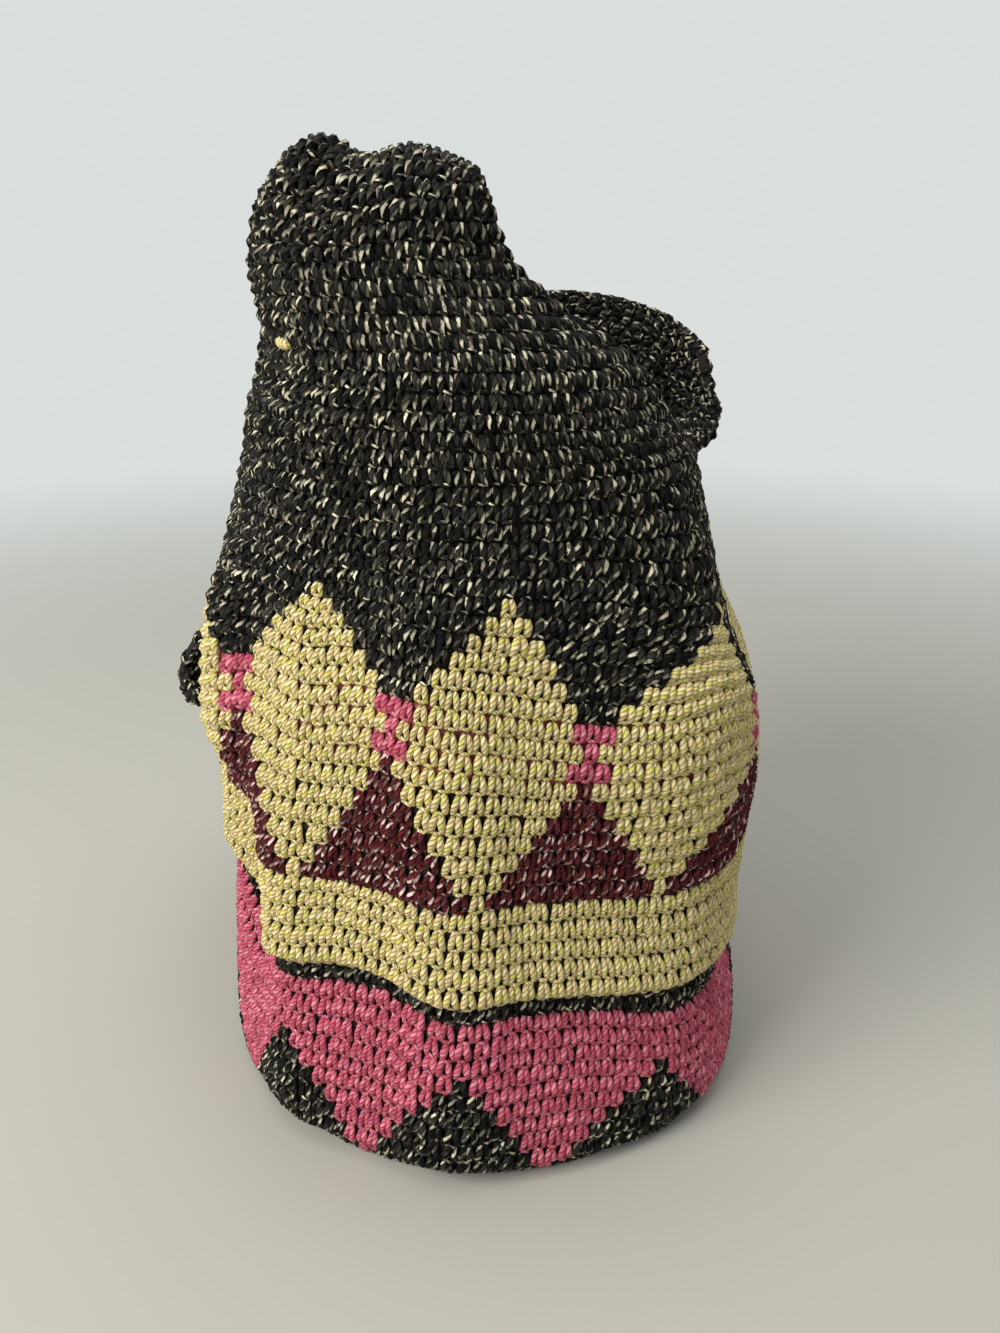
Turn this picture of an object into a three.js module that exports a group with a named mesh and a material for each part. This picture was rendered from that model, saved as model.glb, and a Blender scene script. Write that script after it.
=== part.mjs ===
// A crochet shoulder bag, standing on its round base with its wide strap folded over the mouth.
// Millimetres, +Z up, front along -Y. The origin is the middle of the base, on the surface it stands on.
//
// The whole bag is one crocheted fabric: a flat base worked in rounds, a wall worked upwards from it,
// two tapering panels and the strap that joins them. The fabric is drawn as a middle surface, followed
// row by row, and given its thickness on both sides.

import * as THREE from "three";

// Fabric
const FABRIC_THICKNESS = 5.5;
const HALF = FABRIC_THICKNESS / 2;

// Wall: the rows of stitches, and the height and radius of the middle surface at some of them
const WALL_ROWS = 39;
const WALL_HEIGHT = 232;
const WALL_RADIUS = 98;
const MOUTH_RADIUS = 73;
const MOUTH_CENTRE_X = -4;
const BASE_RADIUS = 93;

// Height of a row as a share of the wall's height
const HEIGHT_AT = [
  [0, 0],
  [1.2, 0.025],
  [3, 0.082],
  [7, 0.195],
  [10, 0.278],
  [11.2, 0.3065],
  [12.2, 0.326],
  [14, 0.38],
  [17, 0.472],
  [21, 0.584],
  [24, 0.664],
  [27, 0.7405],
  [30, 0.81],
  [33, 0.8735],
  [36, 0.9365],
  [39, 1],
];

// How far the wall stands outside (+) or inside (-) its own radius, up to the row where the mouth draws in
const SWELL_AT = [
  [1.2, 0],
  [3, 0.5],
  [7, -1.7],
  [10, -4.5],
  [11.2, -6],
  [12.2, -0.8],
  [14, -1.5],
  [17, -2],
  [21, -0.5],
];

// From there up, the share of the way from the wall's radius to the mouth's
const DRAWN_IN_AT = [
  [24, 0.06],
  [27, 0.18],
  [30, 0.38],
  [33, 0.6],
  [36, 0.82],
  [39, 1],
];

// Share of the mouth's sideways shift
const LEAN_AT = [
  [0, 0],
  [21, 0],
  [24, 0.1],
  [27, 0.3],
  [30, 0.75],
  [33, 1],
  [39, 1],
];

// Folds and hollows of the soft wall: how far out, round which angle, how wide to each side,
// and the rows where it starts, is full, begins to fade and is gone
const FOLDS = [
  { out: 3.5, at: 50, wide: 30, rows: [0, 3, 30, 39] },
  { out: -2.5, at: 20, wide: 24, rows: [0, 3, 30, 39] },
  { out: 3.5, at: -5, wide: 13, rows: [0, 3, 30, 39] },
  { out: -3.5, at: -23, wide: 18, rows: [0, 3, 30, 39] },
  { out: 3, at: -42, wide: 12, rows: [0, 3, 17, 23] },
  { out: -2, at: -90, wide: 20, rows: [0, 3, 30, 39] },
  { out: -10, at: -60, wide: 17, rows: [8, 12, 17, 24] },
  { out: -3, at: -44, wide: 14, rows: [17, 24, 30, 37] },
  { out: 4.5, at: -60, wide: 11, rows: [17, 24, 30, 37] },
  { out: 1.5, at: 90, wide: 40, rows: [14, 20, 26, 32] },
  { out: -2.5, at: 85, wide: 45, rows: [5, 9, 13, 17] },
  { out: 3.5, at: 56, wide: 30, rows: [22, 29, 34, 39] },
];

// Places where the rows sink or rise
const SAGS = [
  { up: -9, at: 80, wide: 70, rows: [0, 3, 30, 39] },
  { up: -4, at: 38, wide: 40, rows: [0, 3, 30, 39] },
  { up: -4, at: -75, wide: 60, rows: [0, 3, 30, 39] },
  { up: 4, at: -27, wide: 24, rows: [6, 10, 14, 18] },
  { up: -2, at: 45, wide: 40, rows: [6, 10, 14, 18] },
  { up: 18, at: -80, wide: 26, rows: [3, 10, 13, 24] },
  { up: 5, at: -18, wide: 30, rows: [18, 24, 28, 36] },
  { up: 8, at: -49, wide: 20, rows: [19, 25, 31, 38] },
  { up: -5, at: 60, wide: 35, rows: [26, 32, 34, 39] },
  { up: -3.5, at: 25, wide: 30, rows: [18, 24, 28, 34] },
  { up: -10, at: 76, wide: 30, rows: [18, 24, 30, 36] },
  { up: -7, at: 52, wide: 32, rows: [2, 6, 9, 13] },
  { up: -8, at: 84, wide: 24, rows: [5, 10, 12, 16] },
];

// The wall splits here into a front and a back panel, at two opposite angles round the mouth
const SPLIT_LEFT_ANGLE = -100;
const SPLIT_RIGHT_ANGLE = 80;

// The loop of panel, strap and panel. Each line is a row of stitches: its number, counted on from the
// wall, and the places of its left end, its middle and its right end, the last number being the height
// above or below the mouth. The row is the arc through them.
// Up the front panel, over the top fold, down behind, round the lower fold, up again across the back,
// and over the back panel's fold down to the wall.
const STRAP_LINES = [
  [42, [-74, 3, 14], [-18, -69, 14.5], [58.5, -24, 11]],
  [45, [-67, -7, 30], [-20, -64, 29.5], [46, -32, 28]],
  [48, [-67, -13, 45], [-23, -58, 44], [25, -37, 42]],
  [51, [-68, -18, 56], [-26, -54, 58], [9, -42, 57]],
  [54, [-64, -25, 70], [-30, -49, 73], [3, -42, 72]],
  [56.6, [-59, -28, 77], [-31, -37, 85], [-1, -30, 79]],
  [59, [-57, -24, 80], [-31, -20, 86], [-2, -10, 80]],
  [63, [-61, -15, 69], [-34, 2, 71], [-4, 24, 64]],
  [69, [-70, 5, 46], [-43, 31, 42], [-14, 60, 36]],
  [76, [-84, 28, 8], [-60, 61, 4], [-29, 88, 0]],
  [86, [-95, 38, -48], [-74, 70, -50], [-47, 97, -51]],
  [95, [-109, 36, -97], [-90, 70, -97], [-65, 101, -97]],
  [98.5, [-118, 36, -111], [-98, 70, -113], [-74, 101, -113]],
  [100.7, [-127, 42, -114], [-105, 76, -122], [-81, 108, -123]],
  [103, [-131, 51, -104], [-107, 84, -115], [-81, 113, -124]],
  [107, [-112, 76, -75], [-91, 94, -93], [-61, 110, -115]],
  [115, [-90, 92, -38], [-61, 105, -64], [-30, 112, -90]],
  [123, [-56, 106, -7], [-26, 111, -34], [4, 110, -61]],
  [132, [-20, 112, 18], [14, 108, 0], [50, 97, -18]],
  [138, [12, 98, 36], [38, 96, 28], [78, 72, 8]],
  [142, [2, 68, 40], [44, 83, 43], [82, 51, 27]],
  [144.5, [-14, 52, 31], [38, 76, 39], [85, 42, 14]],
  [147, [-38, 44, 20], [27, 73, 29], [87, 29, 6]],
  [150, [-62, 32, 8], [14, 73, 15], [80, 8, 1]],
];
const LAST_ROW = 153;

// Places where the strap's top fold rises or sinks. Across the strap they are counted as strapPoint counts,
// from -1 at a row's left end to 1 at its right end.
const STRAP_SAGS = [
  { up: 4, at: -0.6, wide: 0.4, rows: [50, 55, 60, 66] },
  { up: -3.5, at: -0.05, wide: 0.45, rows: [50, 55, 60, 66] },
];

// The wall and mouth that the strap's places were taken on: round wider ones it spreads as they do
const STRAP_WALL_RADIUS = 98;
const STRAP_MOUTH_RADIUS = 73;
const STRAP_SPREAD = Math.max(1, WALL_RADIUS / STRAP_WALL_RADIUS, MOUTH_RADIUS / STRAP_MOUTH_RADIUS);

// Fineness of the solid
const COLUMNS_ROUND = 40;
const COLUMNS_ACROSS = COLUMNS_ROUND / 2;
const WALL_MESH_ROWS = [0, 1.2, 3, 7, 10, 11.2, 12.2, 14, 17, 21, 24, 27, 30, 33, 36, 39];
const STRAP_MESH_ROWS = [
  39, 42, 45, 48, 51, 53, 54.5, 56, 57.5, 59, 61, 64, 68, 72, 76, 81, 86, 91, 95, 97, 98.5, 99.7,
  100.7, 101.7, 103, 105, 108, 112, 116, 121, 126, 131, 135, 138, 140, 142, 143.3, 144.5, 146, 148,
  150, 153,
];

const radians = THREE.MathUtils.degToRad;

// A smooth curve through the table's values (numbers or points), with the slope at each entry that a
// parabola through it and its two neighbours has
function follow(table, row) {
  const last = table.length - 1;
  const isPoint = Array.isArray(table[0][1]);
  const size = isPoint ? table[0][1].length : 1;
  const value = (k, axis) => (isPoint ? table[k][1][axis] : table[k][1]);
  const slope = (k, axis) => (value(k + 1, axis) - value(k, axis)) / (table[k + 1][0] - table[k][0]);
  const tangent = (k, axis) => {
    if (k === 0) return slope(0, axis);
    if (k === last) return slope(last - 1, axis);
    const before = table[k][0] - table[k - 1][0];
    const after = table[k + 1][0] - table[k][0];
    return (slope(k - 1, axis) * after + slope(k, axis) * before) / (before + after);
  };
  let k = 0;
  while (k < last - 1 && row >= table[k + 1][0]) k++;
  const gap = table[k + 1][0] - table[k][0];
  const t = (row - table[k][0]) / gap;
  const result = [];
  for (let axis = 0; axis < size; axis++) {
    const start = (2 * t ** 3 - 3 * t ** 2 + 1) * value(k, axis);
    const leave = (t ** 3 - 2 * t ** 2 + t) * gap * tangent(k, axis);
    const end = (3 * t ** 2 - 2 * t ** 3) * value(k + 1, axis);
    const arrive = (t ** 3 - t ** 2) * gap * tangent(k + 1, axis);
    result.push(start + leave + end + arrive);
  }
  return isPoint ? result : result[0];
}

const smooth = (t) => THREE.MathUtils.smoothstep(t, 0, 1);

// One at its middle angle, none beyond its width
function hump(angle, middle, wide) {
  const off = ((((angle - middle + 180) % 360) + 360) % 360) - 180;
  const t = Math.min(Math.abs(off) / wide, 1);
  return (1 - t * t) ** 2;
}

function overRows(row, [start, full, fade, gone]) {
  return smooth((row - start) / (full - start)) * smooth((gone - row) / (gone - fade));
}

// The wall's radius in a row, before its folds: its tables, one after the other
const RADIUS_AT = [
  [0, BASE_RADIUS],
  ...SWELL_AT.map(([row, out]) => [row, WALL_RADIUS + out]),
  ...DRAWN_IN_AT.map(([row, share]) => [row, WALL_RADIUS + share * (MOUTH_RADIUS - WALL_RADIUS)]),
];

// Middle surface of the wall: angle 0 is the front, and grows towards the right
function wallPoint(row, angle) {
  let z = HALF + follow(HEIGHT_AT, row) * (WALL_HEIGHT - HALF);
  let radius = follow(RADIUS_AT, row);
  for (const fold of FOLDS) radius += fold.out * hump(angle, fold.at, fold.wide) * overRows(row, fold.rows);
  for (const sag of SAGS) z += sag.up * hump(angle, sag.at, sag.wide) * overRows(row, sag.rows);
  const centreX = follow(LEAN_AT, row) * MOUTH_CENTRE_X;
  const a = radians(angle);
  return new THREE.Vector3(centreX + radius * Math.sin(a), -radius * Math.cos(a), z);
}

const strapPlace = ([x, y, up]) => [x * STRAP_SPREAD, y * STRAP_SPREAD, WALL_HEIGHT + up];
const mouthPoint = (angle) => wallPoint(WALL_ROWS, angle).toArray();
const PANEL_MIDDLE = (SPLIT_LEFT_ANGLE + SPLIT_RIGHT_ANGLE) / 2;
const STRAP_TABLE = [
  [WALL_ROWS, mouthPoint(SPLIT_LEFT_ANGLE), mouthPoint(PANEL_MIDDLE), mouthPoint(SPLIT_RIGHT_ANGLE)],
  ...STRAP_LINES.map(([row, ...places]) => [row, ...places.map(strapPlace)]),
  [LAST_ROW, mouthPoint(SPLIT_LEFT_ANGLE), mouthPoint(PANEL_MIDDLE + 180), mouthPoint(SPLIT_RIGHT_ANGLE)],
];
const [LEFT_END, MIDDLE, RIGHT_END] = [1, 2, 3].map((column) =>
  STRAP_TABLE.map((line) => [line[0], line[column]]),
);

// Middle surface of the panels and strap: across runs from -1 at the left end of a row to 1 at the right.
// The row is an arc of a circle through its three places, with the stitches spread evenly along it.
function strapPoint(row, across) {
  const left = new THREE.Vector3(...follow(LEFT_END, row));
  const middle = new THREE.Vector3(...follow(MIDDLE, row));
  const right = new THREE.Vector3(...follow(RIGHT_END, row));
  const a = left.clone().sub(right);
  const b = middle.clone().sub(right);
  const cross = a.clone().cross(b);
  const towards = b.clone().multiplyScalar(a.lengthSq()).addScaledVector(a, -b.lengthSq());
  const centre = towards.cross(cross).divideScalar(2 * cross.lengthSq()).add(right);
  const arm = left.clone().sub(centre);
  const radius = arm.length();
  arm.normalize();
  const axis = middle.clone().sub(left).cross(right.clone().sub(middle)).normalize();
  const side = axis.clone().cross(arm);
  const end = right.clone().sub(centre);
  const sweep = (Math.atan2(end.dot(side), end.dot(arm)) + 2 * Math.PI) % (2 * Math.PI);
  const angle = (sweep * (across + 1)) / 2;
  for (const sag of STRAP_SAGS) centre.z += sag.up * hump(across, sag.at, sag.wide) * overRows(row, sag.rows);
  return centre
    .addScaledVector(arm, radius * Math.cos(angle))
    .addScaledVector(side, radius * Math.sin(angle));
}

// Outward direction of a surface that runs to the right with u and along the rows with v
function outward(surface, u, v, uStep, vLow, vHigh) {
  const right = surface(v, u + uStep).sub(surface(v, u - uStep));
  const along = surface(vHigh, u).sub(surface(vLow, u));
  return right.cross(along).normalize();
}

const SMALL_ROW = 0.4;
const SMALL_ANGLE = 2;
const SMALL_ACROSS = 0.02;

function wallNormal(row, angle) {
  if (row === 0) return new THREE.Vector3(0, 0, -1);
  const low = Math.max(row - SMALL_ROW, 0);
  const high = Math.min(row + SMALL_ROW, WALL_ROWS);
  return outward(wallPoint, angle, row, SMALL_ANGLE, low, high);
}

function strapNormal(row, across) {
  return outward(strapPoint, across, row, SMALL_ACROSS, row - SMALL_ROW, row + SMALL_ROW);
}

// The solid: a list of corners and triangles, built from grids of corner numbers
const corners = [];
const triangles = [];

function addCorner(point) {
  corners.push(point.x, point.y, point.z);
  return corners.length / 3 - 1;
}

// Both skins of the fabric at one place of its middle surface
function addFabric(point, normal) {
  const outer = addCorner(point.clone().addScaledVector(normal, HALF));
  const inner = addCorner(point.clone().addScaledVector(normal, -HALF));
  return { outer, inner };
}

function addQuad(a, b, c, d) {
  triangles.push(a, b, c, a, c, d);
}

// Fills a grid of fabric places with faces on both skins; columns run to the right, rows along the rows
function addSkins(grid) {
  for (let r = 0; r + 1 < grid.length; r++) {
    for (let c = 0; c + 1 < grid[r].length; c++) {
      const [a, b] = [grid[r][c], grid[r][c + 1]];
      const [d, e] = [grid[r + 1][c], grid[r + 1][c + 1]];
      addQuad(a.outer, b.outer, e.outer, d.outer);
      addQuad(a.inner, d.inner, e.inner, b.inner);
    }
  }
}

function wallAngle(column) {
  return SPLIT_LEFT_ANGLE + (360 * column) / COLUMNS_ROUND;
}

function buildWall() {
  const grid = WALL_MESH_ROWS.map((row) => {
    const ring = [];
    for (let c = 0; c < COLUMNS_ROUND; c++) {
      ring.push(addFabric(wallPoint(row, wallAngle(c)), wallNormal(row, wallAngle(c))));
    }
    ring.push(ring[0]);
    return ring;
  });
  addSkins(grid);
  return grid;
}

function buildBase(edge) {
  const under = addCorner(new THREE.Vector3(0, 0, 0));
  const floor = addCorner(new THREE.Vector3(0, 0, FABRIC_THICKNESS));
  for (let c = 0; c < COLUMNS_ROUND; c++) {
    triangles.push(under, edge[c + 1].outer, edge[c].outer);
    triangles.push(floor, edge[c].inner, edge[c + 1].inner);
  }
}

// The panels and the strap: one grid from the front half of the mouth round to its back half
function buildStrap(mouth) {
  const first = mouth.slice(0, COLUMNS_ACROSS + 1);
  const last = mouth.slice(COLUMNS_ACROSS).reverse();
  const between = STRAP_MESH_ROWS.slice(1, -1).map((row) => {
    const line = [];
    for (let c = 0; c <= COLUMNS_ACROSS; c++) {
      const across = (2 * c) / COLUMNS_ACROSS - 1;
      line.push(addFabric(strapPoint(row, across), strapNormal(row, across)));
    }
    return line;
  });
  const grid = [first, ...between, last];
  addSkins(grid);
  for (let r = 0; r + 1 < grid.length; r++) {
    const [a, b] = [grid[r][0], grid[r + 1][0]];
    addQuad(a.outer, b.outer, b.inner, a.inner);
    const [c, d] = [grid[r][COLUMNS_ACROSS], grid[r + 1][COLUMNS_ACROSS]];
    addQuad(c.outer, c.inner, d.inner, d.outer);
  }
}

const wallGrid = buildWall();
buildBase(wallGrid[0]);
buildStrap(wallGrid[wallGrid.length - 1]);

const geometry = new THREE.BufferGeometry();
geometry.setAttribute("position", new THREE.Float32BufferAttribute(corners, 3));
geometry.setIndex(triangles);
geometry.computeVertexNormals();

const yarn = new THREE.MeshStandardMaterial({ color: 0xb3a578, roughness: 0.95, metalness: 0 });
const fabric = new THREE.Mesh(geometry, yarn);
fabric.name = "crochet_bag";

const bag = new THREE.Group();
bag.name = "crochet_shoulder_bag";
bag.add(fabric);

export default bag;
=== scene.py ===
# A crochet shoulder bag, stitch by stitch: every stitch is a few plump strands of yarn that follow the
# middle surface of the fabric. The surface is the one that the bag's solid is made from.
# Lengths are millimetres until a mesh is written, which is in metres. The camera, the floor and the lamps
# are placed in metres.

import math

import bpy
import numpy as np
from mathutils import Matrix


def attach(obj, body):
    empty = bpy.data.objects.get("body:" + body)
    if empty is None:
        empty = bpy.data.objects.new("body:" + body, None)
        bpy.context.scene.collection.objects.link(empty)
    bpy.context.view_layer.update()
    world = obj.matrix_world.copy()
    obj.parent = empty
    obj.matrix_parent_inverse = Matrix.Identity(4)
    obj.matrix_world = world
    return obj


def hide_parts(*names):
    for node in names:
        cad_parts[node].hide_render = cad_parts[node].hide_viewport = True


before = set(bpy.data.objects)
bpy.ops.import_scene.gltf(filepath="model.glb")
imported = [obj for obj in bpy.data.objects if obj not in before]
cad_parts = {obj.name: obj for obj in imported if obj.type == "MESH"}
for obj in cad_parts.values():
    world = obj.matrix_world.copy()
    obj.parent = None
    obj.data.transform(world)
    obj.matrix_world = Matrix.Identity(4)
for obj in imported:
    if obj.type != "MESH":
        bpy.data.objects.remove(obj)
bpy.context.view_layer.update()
CAD_NODE = "crochet_bag"

MM = 0.001
FABRIC_THICKNESS = 5.5
HALF = FABRIC_THICKNESS / 2
rng = np.random.default_rng(7)
TINY = 1e-9

# Wall: rows of stitches, and the height and radius of the middle surface at some of them
WALL_ROWS = 39
WALL_HEIGHT = 232
WALL_RADIUS = 98
MOUTH_RADIUS = 73
MOUTH_CENTRE_X = -4
BASE_RADIUS = 93

HEIGHT_AT = [
    (0, 0), (1.2, 0.025), (3, 0.082), (7, 0.195), (10, 0.278), (11.2, 0.3065), (12.2, 0.326), (14, 0.380),
    (17, 0.472), (21, 0.584), (24, 0.664), (27, 0.7405), (30, 0.81), (33, 0.8735), (36, 0.9365), (39, 1)]
SWELL_AT = [
    (1.2, 0), (3, 0.5), (7, -1.7), (10, -4.5), (11.2, -6), (12.2, -0.8), (14, -1.5), (17, -2), (21, -0.5)]
DRAWN_IN_AT = [(24, 0.06), (27, 0.18), (30, 0.38), (33, 0.6), (36, 0.82), (39, 1)]
LEAN_AT = [(0, 0), (21, 0), (24, 0.1), (27, 0.3), (30, 0.75), (33, 1), (39, 1)]
RADIUS_AT = ([(0, BASE_RADIUS)]
             + [(row, WALL_RADIUS + out) for row, out in SWELL_AT]
             + [(row, WALL_RADIUS + share * (MOUTH_RADIUS - WALL_RADIUS)) for row, share in DRAWN_IN_AT])

# Folds and sags of the soft wall: how much, round which angle, how wide to each side, and the rows where
# it starts, is full, begins to fade and is gone
FOLDS = [
    (3.5, 50, 30, (0, 3, 30, 39)), (-2.5, 20, 24, (0, 3, 30, 39)), (3.5, -5, 13, (0, 3, 30, 39)),
    (-3.5, -23, 18, (0, 3, 30, 39)), (3, -42, 12, (0, 3, 17, 23)), (-2, -90, 20, (0, 3, 30, 39)),
    (-10, -60, 17, (8, 12, 17, 24)), (-3, -44, 14, (17, 24, 30, 37)), (4.5, -60, 11, (17, 24, 30, 37)),
    (1.5, 90, 40, (14, 20, 26, 32)), (-2.5, 85, 45, (5, 9, 13, 17)), (3.5, 56, 30, (22, 29, 34, 39))]
SAGS = [
    (-9, 80, 70, (0, 3, 30, 39)), (-4, 38, 40, (0, 3, 30, 39)), (-4, -75, 60, (0, 3, 30, 39)),
    (4, -27, 24, (6, 10, 14, 18)), (-2, 45, 40, (6, 10, 14, 18)), (18, -80, 26, (3, 10, 13, 24)),
    (5, -18, 30, (18, 24, 28, 36)), (8, -49, 20, (19, 25, 31, 38)), (-5, 60, 35, (26, 32, 34, 39)),
    (-3.5, 25, 30, (18, 24, 28, 34)), (-10, 76, 30, (18, 24, 30, 36)), (-7, 52, 32, (2, 6, 9, 13)),
    (-8, 84, 24, (5, 10, 12, 16))]

SPLIT_LEFT_ANGLE = -100
SPLIT_RIGHT_ANGLE = 80
PANEL_MIDDLE = (SPLIT_LEFT_ANGLE + SPLIT_RIGHT_ANGLE) / 2

# The loop of panel, strap and panel: a row's number, then its left end, middle and right end, the last
# number of each being the height above or below the mouth
STRAP_LINES = [
    (42, (-74, 3, 14), (-18, -69, 14.5), (58.5, -24, 11)),
    (45, (-67, -7, 30), (-20, -64, 29.5), (46, -32, 28)),
    (48, (-67, -13, 45), (-23, -58, 44), (25, -37, 42)),
    (51, (-68, -18, 56), (-26, -54, 58), (9, -42, 57)),
    (54, (-64, -25, 70), (-30, -49, 73), (3, -42, 72)),
    (56.6, (-59, -28, 77), (-31, -37, 85), (-1, -30, 79)),
    (59, (-57, -24, 80), (-31, -20, 86), (-2, -10, 80)),
    (63, (-61, -15, 69), (-34, 2, 71), (-4, 24, 64)),
    (69, (-70, 5, 46), (-43, 31, 42), (-14, 60, 36)),
    (76, (-84, 28, 8), (-60, 61, 4), (-29, 88, 0)),
    (86, (-95, 38, -48), (-74, 70, -50), (-47, 97, -51)),
    (95, (-109, 36, -97), (-90, 70, -97), (-65, 101, -97)),
    (98.5, (-118, 36, -111), (-98, 70, -113), (-74, 101, -113)),
    (100.7, (-127, 42, -114), (-105, 76, -122), (-81, 108, -123)),
    (103, (-131, 51, -104), (-107, 84, -115), (-81, 113, -124)),
    (107, (-112, 76, -75), (-91, 94, -93), (-61, 110, -115)),
    (115, (-90, 92, -38), (-61, 105, -64), (-30, 112, -90)),
    (123, (-56, 106, -7), (-26, 111, -34), (4, 110, -61)),
    (132, (-20, 112, 18), (14, 108, 0), (50, 97, -18)),
    (138, (12, 98, 36), (38, 96, 28), (78, 72, 8)),
    (142, (2, 68, 40), (44, 83, 43), (82, 51, 27)),
    (144.5, (-14, 52, 31), (38, 76, 39), (85, 42, 14)),
    (147, (-38, 44, 20), (27, 73, 29), (87, 29, 6)),
    (150, (-62, 32, 8), (14, 73, 15), (80, 8, 1)),
]
LAST_ROW = 153

# Places where the strap's top fold rises or sinks: how much, where across, how wide, and the rows
STRAP_SAGS = [(4, -0.6, 0.4, (50, 55, 60, 66)), (-3.5, -0.05, 0.45, (50, 55, 60, 66))]


def follow(table, row):
    """A smooth curve through the table's values, numbers or points, at any rows."""
    rows = np.array([entry[0] for entry in table], float)
    values = np.array([entry[1] for entry in table], float)
    values = values.reshape(len(rows), -1)
    gaps = np.diff(rows)[:, None]
    slopes = np.diff(values, axis=0) / gaps
    tangents = np.empty_like(values)
    tangents[1:-1] = (slopes[:-1] * gaps[1:] + slopes[1:] * gaps[:-1]) / (gaps[:-1] + gaps[1:])
    tangents[0] = slopes[0]
    tangents[-1] = slopes[-1]
    row = np.asarray(row, float)
    k = np.clip(np.searchsorted(rows, row, side="right") - 1, 0, len(rows) - 2)
    gap = gaps[k]
    t = (row[..., None] - rows[k][..., None]) / gap
    result = ((2 * t**3 - 3 * t**2 + 1) * values[k] + (t**3 - 2 * t**2 + t) * gap * tangents[k]
              + (3 * t**2 - 2 * t**3) * values[k + 1] + (t**3 - t**2) * gap * tangents[k + 1])
    return result if result.shape[-1] > 1 else result[..., 0]


def smooth(t):
    """A soft step from 0 to 1."""
    t = np.clip(t, 0, 1)
    return t * t * (3 - 2 * t)


def hump(angle, middle, wide):
    """A swell that is 1 at the middle and 0 from so wide on."""
    off = (angle - middle + 180) % 360 - 180
    t = np.clip(np.abs(off) / wide, 0, 1)
    return (1 - t * t) ** 2


def over_rows(row, rows):
    """A share that rises to 1 between the first two rows and falls between the last two."""
    start, full, fade, gone = rows
    return smooth((row - start) / (full - start)) * smooth((gone - row) / (gone - fade))


def wall_point(row, angle):
    """Middle surface of the wall; angle 0 is the front and grows towards the right."""
    row, angle = np.broadcast_arrays(np.asarray(row, float), np.asarray(angle, float))
    z = HALF + follow(HEIGHT_AT, row) * (WALL_HEIGHT - HALF)
    radius = follow(RADIUS_AT, row)
    for out, at, wide, rows in FOLDS:
        radius = radius + out * hump(angle, at, wide) * over_rows(row, rows)
    for up, at, wide, rows in SAGS:
        z = z + up * hump(angle, at, wide) * over_rows(row, rows)
    centre_x = follow(LEAN_AT, row) * MOUTH_CENTRE_X
    a = np.radians(angle)
    return np.stack([centre_x + radius * np.sin(a), -radius * np.cos(a), z], axis=-1)


def mouth_point(angle):
    return tuple(wall_point(WALL_ROWS, angle))


def strap_place(place):
    x, y, up = place
    return (x, y, WALL_HEIGHT + up)


STRAP_TABLE = (
    [(WALL_ROWS, mouth_point(SPLIT_LEFT_ANGLE), mouth_point(PANEL_MIDDLE), mouth_point(SPLIT_RIGHT_ANGLE))]
    + [(line[0],) + tuple(strap_place(place) for place in line[1:]) for line in STRAP_LINES]
    + [(LAST_ROW, mouth_point(SPLIT_LEFT_ANGLE), mouth_point(PANEL_MIDDLE + 180),
        mouth_point(SPLIT_RIGHT_ANGLE))])
LEFT_END, MIDDLE, RIGHT_END = [[(line[0], line[k]) for line in STRAP_TABLE] for k in (1, 2, 3)]


def length_of(vectors):
    return np.linalg.norm(vectors, axis=-1, keepdims=True)


def dot(a, b):
    return np.sum(a * b, axis=-1, keepdims=True)


def strap_arc(row):
    """The circle of a row: its centre, two arms at right angles, its radius and its sweep."""
    left, middle, right = follow(LEFT_END, row), follow(MIDDLE, row), follow(RIGHT_END, row)
    a = left - right
    b = middle - right
    cross = np.cross(a, b)
    centre = right + np.cross(dot(a, a) * b - dot(b, b) * a, cross) / (2 * dot(cross, cross))
    arm = left - centre
    radius = length_of(arm)
    arm = arm / radius
    axis = np.cross(middle - left, right - middle)
    side = np.cross(axis / length_of(axis), arm)
    end = right - centre
    sweep = np.arctan2(dot(end, side), dot(end, arm)) % (2 * np.pi)
    return centre, arm, side, radius, sweep


def strap_point(row, across):
    """Middle surface of the panels and strap; across runs from -1 to 1 along a row."""
    row, across = np.broadcast_arrays(np.asarray(row, float), np.asarray(across, float))
    centre, arm, side, radius, sweep = strap_arc(row)
    angle = sweep * (across[..., None] + 1) / 2
    up = sum(up * hump(across, at, wide) * over_rows(row, rows) for up, at, wide, rows in STRAP_SAGS)
    centre = centre + up[..., None] * np.array([0, 0, 1])
    return centre + radius * (np.cos(angle) * arm + np.sin(angle) * side)


# How far the columns of stitches have drifted round the bag, in degrees, at some columns and rows
DRIFT_COLUMNS = [-180, -80, -60, -40, -20, 0, 20, 40, 60, 80, 180]
DRIFT_AT = [
    (0, (0, 0, -1, -3, -5, -7, -7.5, -7, -5, -3, 0)),
    (7, (0, 3, 0, -2, -3, -3.7, -3, -2, -1, 0, 0)),
    (17, (0, 6, 4, 3, 1, -1.1, -3.5, -5.7, -5, -4, 0)),
    (24, (3, 9, 9, 8, 5.4, 2.6, -1.2, 2, 5, 8, 3)),
    (27, (3, 9, 9, 8, 7.8, 3, 2, 3, 7, 8, 3)),
    (33, (6, 12, 11, 9.5, 9, 8.5, 14, 22, 21, 20, 6)),
    (39, (6, 8, 8, 8, 9, 10, 13, 16, 15, 14, 6))]


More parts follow.
